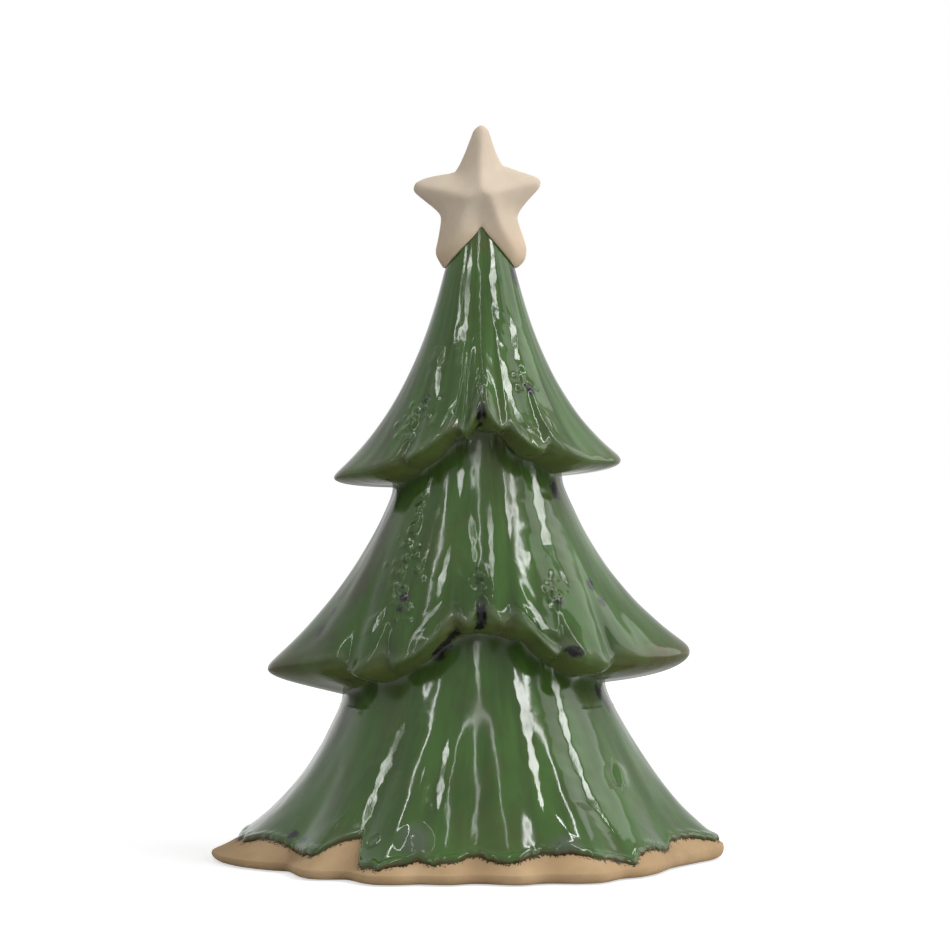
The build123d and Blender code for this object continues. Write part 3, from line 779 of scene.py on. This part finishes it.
# Painted shade: one in the creases between the foot's lobes
give(foot, "crease", np.broadcast_to(np.clip(-foot_lobes / 4, 0, 1)[:, None], casting_r.shape).ravel())

# How deep the clay lies under an upper skirt's skin, and which of its rows it takes
CLAY_DEPTH, CLAY_STEP = 2.2, 3


def upper_casting(name, skin, hollow, node, *rim):
    """Clay under an upper skirt's skin, round its hollow. Rim is the outer corner of an open neck."""
    inside = skin.points - normals(skin.base) * CLAY_DEPTH
    clay = np.array([np.hypot(inside[..., 0] - AXIS_X, inside[..., 1]), inside[..., 2]])[..., ::CLAY_STEP]
    rim = [np.broadcast_to(np.reshape(corner, (2, 1, 1)), (2, COLUMNS, 1)) for corner in rim]
    r, z = np.concatenate([clay[..., ::-1], *rim, hollow_rows(hollow, 8)[..., ::-1]], axis=-1)
    return ring_piece(name, r, z, node)


MIDDLE_HOLLOW = ((28.6, 72.6), (22.1, 86.9), (16.0, 86.9), (23.0, 108.7), (10.9, MIDDLE_TOP))
TOP_HOLLOW = ((18.0, 134.5), (15.3, 139.9), (9.2, 139.9), (4.9, 183.0), (4.2, 183.0), (4.2, 197.0))
middle_casting = upper_casting("middle_casting", middle, MIDDLE_HOLLOW, "middle_tier", (14.7, MIDDLE_TOP))
top_casting = upper_casting("top_casting", top, TOP_HOLLOW, "top_tier")

# Slip: its start over the seat, how far its sides stand off the neck, and how far its lid reaches in
SLIP_START, SLIP_INNER, SLIP_OUTER, LID_REACH = 1.2, 0.05, 0.55, 5.4


def slip_piece(name, seat, cone, rise, node):
    """Ring of fired slip between a neck and the socket over it, with its flat top."""
    low = seat + SLIP_START
    share = np.linspace(0, 1, 14)[None, :]
    z = low[:, None] + (rise - low)[:, None] * share
    lid = np.broadcast_to(np.linspace(cone(rise) + SLIP_OUTER, cone(rise) - LID_REACH, 5), (COLUMNS, 5))
    lid_z = np.full(lid.shape, rise + SLIP_OUTER)
    r = np.hstack([cone(z) + SLIP_OUTER, lid, lid[:, ::-1], cone(z)[:, ::-1] + SLIP_INNER])
    z = np.hstack([z, lid_z, lid_z - 0.5, z[:, ::-1]])
    return ring_piece(name, r, z, node)


slips = [
    slip_piece("lower_slip", middle_seat, lower_cone, LOWER_TOP, "lower_joint"),
    slip_piece("upper_slip", top_seat, middle_cone, MIDDLE_TOP, "upper_joint"),
]


# Star: outline in x and z, anticlockwise as seen from the front, from the top of its upper arm

STAR_CENTRE = (3.8, 207.6)
STAR_OUTLINE = (
    (4, 229.3), (2, 227.9), (1, 225.7), (-1.1, 220.3), (-3.3, 215.8), (-4.9, 214.4), (-9.4, 213.6), (-13.2, 212.7),
    (-15.9, 211.5), (-16.9, 210.2), (-16.9, 208.6), (-15.1, 206.8), (-11.7, 204.1), (-9.4, 202), (-8.5, 200.1),
    (-8.9, 196.4), (-9.6, 192.6), (-10.1, 190.3), (-9.9, 188.4), (-8.8, 186.2), (-7.3, 184.5), (-4.9, 187),
    (-1.1, 190.9), (2.3, 194.5), (4.2, 196.8), (6.1, 194.5), (8.8, 191.5), (12.6, 187), (14.4, 184.9),
    (15.6, 184.8), (17.7, 187), (18.3, 190.3), (17.6, 193.4), (16, 198), (15.5, 200.6), (16.8, 203.3),
    (19.4, 206.4), (22.1, 209.4), (22.7, 211.3), (22.1, 212.6), (19.4, 213.8), (15.3, 215.1), (11.1, 216.6),
    (10.4, 217.4), (8.9, 220.4), (7.8, 223.4), (6.8, 226.5), (5.8, 228.4),
)
STAR_COLUMNS, STAR_RINGS = 420, 64
# Sheet on which the star's height is worked out: bounds in x and z, and pitch
SHEET_X, SHEET_Z, PITCH = (-22, 30), (180, 234), 0.4
MEMBRANE_ROUNDS, FIELD_ROUNDS, PUFF_ROUNDS = 1500, 12, 6
ARM_RISE, RIM_RADIUS = 0.80, 1.9


def closed_curve(points, count):
    """Points along a smooth closed curve through the given ones."""
    p = np.array(points, float)
    n = len(p)
    t = np.linspace(0, n, count, endpoint=False)
    k = t.astype(int)
    u = (t - k)[:, None]
    a, b, c, d = p[(k - 1) % n], p[k % n], p[(k + 1) % n], p[(k + 2) % n]
    return 0.5 * (2 * b + (c - a) * u + (2 * a - 5 * b + 4 * c - d) * u**2 + (3 * b - a - 3 * c + d) * u**3)


def to_edge(points, edge):
    """Distance of points of a plane from an outline in it, negative outside it."""
    away = np.full(points.shape[:-1], 1e9)
    inside = np.zeros(points.shape[:-1], bool)
    for start, end in zip(edge, np.roll(edge, -1, 0)):
        step = end - start
        u = np.clip(((points - start) @ step) / max(step @ step, 1e-9), 0, 1)
        away = np.minimum(away, np.linalg.norm(points - start - u[..., None] * step, axis=-1))
        spans = (start[1] > points[..., 1]) != (end[1] > points[..., 1])
        cross = start[0] + (points[..., 1] - start[1]) * step[0] / (step[1] if step[1] else 1e-9)
        inside ^= spans & (points[..., 0] < cross)
    return np.where(inside, away, -away)


def star_heights(flat, edge):
    """Half thickness of the star at its points: a membrane from the rim, which lies on the tree's tip between
    the lower arms, and on it a rise with the distance from the outline, so that arms have ridges.
    """
    x, z = np.arange(*SHEET_X, PITCH), np.arange(*SHEET_Z, PITCH)
    sheet = np.stack(np.meshgrid(x, z, indexing="ij"), -1)
    field = to_edge(sheet, edge)
    tip_z, tip_r = top.z[0, :40], top.r[0, :40]
    cone = np.interp(sheet[..., 1], tip_z[::-1], tip_r[::-1])
    cone = np.where(sheet[..., 1] > tip_z[0], 0, cone)
    cover = np.sqrt(np.clip(cone**2 - (sheet[..., 0] - AXIS_X) ** 2, 0, None))
    within = field > 0
    membrane = np.where(within, 2.0, cover)
    for _ in range(MEMBRANE_ROUNDS):
        mixed = sum(np.roll(membrane, step, axis) for axis in (0, 1) for step in (1, -1)) / 4
        membrane = np.where(within, mixed, cover)
    for _ in range(FIELD_ROUNDS):
        field = soften_round(soften_round(field, 1).T, 1).T
    u, v = (flat[..., 0] - x[0]) / PITCH, (flat[..., 1] - z[0]) / PITCH
    i, j = u.astype(int), v.astype(int)
    u, v = u - i, v - j

    def read(grid):
        """Values of the sheet's grid at the star's points."""
        low = (1 - v) * grid[i, j] + v * grid[i, j + 1]
        return (1 - u) * low + u * ((1 - v) * grid[i + 1, j] + v * grid[i + 1, j + 1])

    away = np.clip(to_edge(flat, edge), 0, None)
    away[-1] = 0
    blend = np.clip(away / 2.5, 0, 1)
    depth = np.clip(blend * read(field) + (1 - blend) * away, 0, None)
    puff = read(membrane) + ARM_RISE * np.sqrt(depth**2 + 2 * RIM_RADIUS * depth)
    for _ in range(PUFF_ROUNDS):
        near = np.concatenate([np.broadcast_to(puff[:1].mean(), (1, STAR_COLUMNS)), puff[:-1]])
        far = np.concatenate([puff[1:], puff[-1:]])
        mixed = (near + far + np.roll(puff, 1, 1) + np.roll(puff, -1, 1)) / 4
        puff = puff + 0.5 * np.clip(away / 1.5, 0, 1) * (mixed - puff)
    return puff


def star_piece():
    """The star: two puffed faces that meet at its outline."""
    edge = soften_round(closed_curve(STAR_OUTLINE, STAR_COLUMNS), 3)
    centre = np.array(STAR_CENTRE)
    share = (np.linspace(0, 1, STAR_RINGS + 1)[1:]) ** 0.85
    flat = centre + (edge - centre)[None, :, :] * share[:, None, None]
    puff = star_heights(flat, edge)
    halves = []
    for way in (-1, 1):
        face = np.concatenate([flat[..., :1], way * puff[..., None], flat[..., 1:]], axis=-1)
        halves += [[[centre[0], way * puff[0].mean(), centre[1]]], face.reshape(-1, 3)]
    points = np.concatenate(halves)
    size = 1 + STAR_RINGS * STAR_COLUMNS
    j = np.arange(STAR_COLUMNS)
    after = (j + 1) % STAR_COLUMNS
    inner = 1 + np.arange(STAR_RINGS - 1)[:, None] * STAR_COLUMNS
    outer = inner + STAR_COLUMNS
    quads = np.stack([inner + j, inner + after, outer + after, outer + j], -1).reshape(-1, 4)
    rim = 1 + (STAR_RINGS - 1) * STAR_COLUMNS
    rim_quads = np.stack([rim + j, rim + after, size + rim + after, size + rim + j], -1)
    # The middle is closed by a fan of quads, two steps of the first ring wide
    pairs = j[::2]
    fan = np.stack([np.zeros_like(pairs), *(1 + (pairs + step) % STAR_COLUMNS for step in (2, 1, 0))], -1)
    faces = np.concatenate([fan, quads, rim_quads, fan[:, ::-1] + size, quads[:, ::-1] + size])
    piece = mesh_piece("star_body", points, faces)
    # Warmer towards the lower arms
    give(piece, "warm", np.clip((centre[1] - points[:, 2] - 6) / 16, 0, 1))
    enter(piece, "star")
    return piece


star = star_piece()


# Materials

class Nodes:
    """Builds the nodes of a material or a world."""

    def __init__(self, owner):
        self.owner = owner
        owner.use_nodes = True
        self.tree = owner.node_tree
        self.tree.nodes.clear()

    def add(self, kind, settings=None, **inputs):
        """A shader node with settings, and inputs by name or, as i0 and so on, by place."""
        made = self.tree.nodes.new("ShaderNode" + kind)
        for key, value in (settings or {}).items():
            setattr(made, key, value)
        for key, value in inputs.items():
            by_place = key[0] == "i" and key[1:].isdigit()
            self.put(made.inputs[int(key[1:]) if by_place else key.replace("_", " ")], value)
        return made

    def put(self, socket, value):
        """Sets an input, or links it to an output or, by its name, to a layer."""
        if isinstance(value, str):
            value = self.add("Attribute", {"attribute_name": value}).outputs["Fac"]
        if isinstance(value, bpy.types.NodeSocket):
            self.tree.links.new(value, socket)
        else:
            socket.default_value = value

    def math(self, operation, a, b=0.0):
        return self.add("Math", {"operation": operation}, i0=a, i1=b).outputs[0]

    def noise(self, coords, scale, detail=3.0, rough=0.55, distort=0.0):
        made = self.add("TexNoise", Vector=coords, Scale=scale, Detail=detail, Roughness=rough, Distortion=distort)
        return made.outputs["Fac"]

    def span(self, value, low, high, to_low=0.0, to_high=1.0):
        """A value from low to high, eased to another range."""
        eased = {"interpolation_type": "SMOOTHSTEP"}
        return self.add("MapRange", eased, i0=value, i1=low, i2=high, i3=to_low, i4=to_high).outputs[0]

    def mix(self, share, a, b):
        made = self.add("Mix", {"data_type": "RGBA"}, i0=share)
        for index, value in ((6, a), (7, b)):
            self.put(made.inputs[index], (*value, 1.0) if isinstance(value, tuple) else value)
        return made.outputs[2]

    def stretch(self, coords, scale):
        return self.add("Mapping", {"vector_type": "POINT"}, Vector=coords, Scale=scale).outputs[0]

    def part(self, value, share):
        return self.math("MULTIPLY", value, share)

    def shows(self, path):
        """One for the rays that show the background: from the camera, in gloss and through glass."""
        shown = self.math("MAXIMUM", path["Is Camera Ray"], path["Is Glossy Ray"])
        return self.math("MAXIMUM", shown, path["Is Transmission Ray"])

    def finish(self, shader, kind="OutputMaterial"):
        self.tree.links.new(shader, self.add(kind).inputs["Surface"])
        return self.owner


def glaze_material():
    """Green reactive glaze: streaks that run with it, clouds, and over them the layers of the skins."""
    n = Nodes(bpy.data.materials.new("green_glaze"))
    where = n.add("TexCoord").outputs["Object"]
    flow = n.add("Attribute", {"attribute_name": "flow"}).outputs["Vector"]
    streaks = n.noise(n.stretch(flow, (0.2, 0.2, 0.03)), 1.0, 3.0, 0.5)
    fine = n.noise(n.stretch(flow, (0.6, 0.6, 0.05)), 1.0, 3.0, 0.55)
    mottle = n.noise(where, 60.0, 4.0, 0.6, 0.4)
    blotch = n.noise(where, 170.0, 4.0, 0.65)
    ragged = n.noise(where, 420.0, 4.0, 0.7)
    grain = n.noise(where, 900.0, 2.0)
    base = n.mix(n.span(streaks, 0.34, 0.66), (0.038, 0.084, 0.016), (0.055, 0.130, 0.024))
    # Share of the painted shade, broken up by the mottle
    painted_shade = n.part("painted_shade", n.span(mottle, 0.35, 0.62, 0.45, 1.0))
    dark = n.part("dark", n.span(ragged, 0.3, 0.66, 0.6, 1.3))
    # Share and colour of what lies over the base, from below upwards. The third are dull grey-violet clouds
    for share, colour in (
        (n.part(n.span(fine, 0.48, 0.75), 0.4), (0.070, 0.148, 0.032)),
        (n.part(n.span(mottle, 0.46, 0.7), 0.6), (0.058, 0.078, 0.018)),
        (n.part(n.span(blotch, 0.6, 0.78), 0.35), (0.055, 0.050, 0.043)),
        (n.part("pale", 0.7), (0.085, 0.105, 0.075)),
        # Painted shade: dull olive on the left flank and under the hems
        (painted_shade, (0.036, 0.044, 0.014)),
        # Painted highlight along the hems' ridges and where a tier comes out from under a hem
        (n.part("edge", n.span(blotch, 0.35, 0.6, 0.25, 0.6)), (0.135, 0.160, 0.100)),
        # Olive on the lips, lightened against the shade under the hems: partly painted light
        (n.part("lip", 0.6), (0.150, 0.170, 0.056)),
        (n.part("thin", n.span(blotch, 0.35, 0.6, 0.2, 1.0)), (0.085, 0.060, 0.022)),
        # Painted shade in the notches of the hems
        (n.part("crease", 0.45), (0.016, 0.024, 0.010)),
        (n.span(dark, 0.25, 0.75), (0.012, 0.011, 0.012)),
    ):
        base = n.mix(share, base, colour)
    # Duller with the mottle, and duller still where shade is painted, on the left flank and under the hems
    gloss = n.math("ADD", n.span(mottle, 0.3, 0.8, 0.07, 0.16), n.part(painted_shade, 0.12))
    skin = n.math("ADD", n.part(blotch, 0.7), n.part(grain, 0.08))
    bump = n.add("Bump", Strength=0.12, Distance=0.0004, Height=skin).outputs[0]
    shader = n.add("BsdfPrincipled", Base_Color=base, Roughness=gloss, Normal=bump, IOR=1.36)
    return n.finish(shader.outputs[0])


def clay_material(name, light, dark, warm, warm_layer=None, foot=False):
    """Bare clay of two tones with warm patches. The foot's is stained under the edge of the glaze, and has painted
    shade in its creases.
    """
    n = Nodes(bpy.data.materials.new(name))
    where = n.add("TexCoord").outputs["Object"]
    cloud = n.noise(where, 45.0, 4.0, 0.6)
    patch = n.noise(where, 220.0, 5.0, 0.65)
    grain = n.noise(where, 1500.0, 3.0, 0.6)
    base = n.mix(n.span(cloud, 0.35, 0.68), light, dark)
    base = n.mix(n.part(n.span(patch, 0.5, 0.75), 0.3), base, warm)
    if warm_layer:
        base = n.mix(n.part(warm_layer, 0.55), base, warm)
    specks = n.span(n.noise(where, 620.0, 1.0), 0.70, 0.76)
    base = n.mix(n.part(specks, 0.14), base, (0.16, 0.10, 0.05))
    if foot:
        # Stain and hair-fine fringe under the edge of the glaze
        hair = n.noise(n.stretch(where, (1.0, 1.0, 0.18)), 1500.0, 2.0)
        reach = n.span(hair, 0.40, 0.72, 0.1, -0.9)
        fringe = n.span(n.math("SUBTRACT", "line", reach), -0.25, 0.1)
        base = n.mix(fringe, base, (0.030, 0.022, 0.014))
        # Painted shade in the creases between the foot's lobes
        base = n.mix(n.part("crease", 0.35), base, (0.22, 0.135, 0.07))
    height = n.math("ADD", patch, n.part(grain, 0.35))
    bump = n.add("Bump", Strength=0.25, Distance=0.0003, Height=height).outputs[0]
    shader = n.add("BsdfPrincipled", Base_Color=base, Normal=bump, Roughness=0.82, IOR=1.45)
    return n.finish(shader.outputs[0])


glaze = glaze_material()
foot_clay = clay_material("bare_clay", (0.52, 0.36, 0.20), (0.42, 0.28, 0.145), (0.46, 0.27, 0.12), foot=True)
inner_clay = clay_material("inner_clay", (0.50, 0.35, 0.20), (0.40, 0.27, 0.145), (0.44, 0.27, 0.12))
star_clay = clay_material("star_clay", (0.66, 0.56, 0.44), (0.58, 0.48, 0.37), (0.58, 0.42, 0.26), "warm")
slip_clay = clay_material("fired_slip", (0.58, 0.46, 0.33), (0.48, 0.36, 0.25), (0.50, 0.34, 0.20))
for material, pieces in (
    (glaze, coats), (foot_clay, [foot]), (inner_clay, [middle_casting, top_casting]), (star_clay, [star]),
    (slip_clay, [*slips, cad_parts["star_joint"]]),
):
    for piece in pieces:
        piece.data.materials.clear()
        piece.data.materials.append(material)


# Floor, light and camera

FLOOR_Z, FLOOR_HALF = -0.3, 60000.0
WHITE = (1.0, 1.0, 1.0, 1.0)
# Light of the white surroundings where they aren't seen or mirrored
DIM_SKY = 0.08
FOCAL_LENGTH, SENSOR_WIDTH = 120.92, 36.0

# White floor, dimmer near the tree where the camera sees it
corners = [(x * FLOOR_HALF, y * FLOOR_HALF, FLOOR_Z) for x, y in ((-1, -1), (1, -1), (1, 1), (-1, 1))]
floor = mesh_piece("floor", corners, np.array([[0, 1, 2, 3]]), smooth=False)
n = Nodes(bpy.data.materials.new("floor_white"))
path = n.add("LightPath").outputs
where = n.add("TexCoord").outputs["Object"]
away = n.add("VectorMath", {"operation": "LENGTH"}, i0=where).outputs["Value"]
near = n.part(path["Is Camera Ray"], 0.62)
glow = n.part(n.shows(path), n.span(away, 0.15, 1.2, near, 1.0))
matte = n.add("BsdfDiffuse", Color=(0.62, 0.62, 0.62, 1.0)).outputs[0]
light = n.add("Emission", Color=WHITE, Strength=glow).outputs[0]
both = n.add("AddShader", i0=matte, i1=light).outputs[0]
floor.data.materials.append(n.finish(both))


def area_light(name, spot, size, power, along=(0, 0, 1)):
    """Soft box at spot, facing the tree, with the second of its sizes along the given direction."""
    data = bpy.data.lights.new(name, "AREA")
    data.shape = "RECTANGLE"
    data.size, data.size_y = size
    data.energy = power
    lamp = bpy.data.objects.new(name, data)
    scene.collection.objects.link(lamp)
    back = (Vector(spot) - Vector(TREE)).normalized()
    up = (Vector(along) - back * back.dot(Vector(along))).normalized()
    lamp.matrix_world = Matrix.Translation(spot) @ Matrix((up.cross(back), up, back)).transposed().to_4x4()


area_light("side_box", (1.15, 0.05, 0.45), (0.95, 1.2), 9.0)
for name, _, spot, along, width, length, power in STRIPS:
    area_light(name, spot, (width, length), power, along)
area_light("low_front", (0.0, -2.2, 0.35), (2.0, 0.35), 1.6)

n = Nodes(bpy.data.worlds.new("studio"))
scene.world = n.owner
shown = n.shows(n.add("LightPath").outputs)
level = n.add("MapRange", i0=shown, i3=DIM_SKY, i4=1.0).outputs[0]
sky = n.add("Background", Color=WHITE, Strength=level)
n.finish(sky.outputs[0], "OutputWorld")
scene.view_settings.view_transform = "Standard"

lens = bpy.data.cameras.new("camera")
lens.sensor_width = SENSOR_WIDTH
lens.lens = FOCAL_LENGTH
camera = bpy.data.objects.new("camera", lens)
scene.collection.objects.link(camera)
camera.location = CAMERA
camera.rotation_euler = (np.pi / 2, 0, 0)
scene.camera = camera
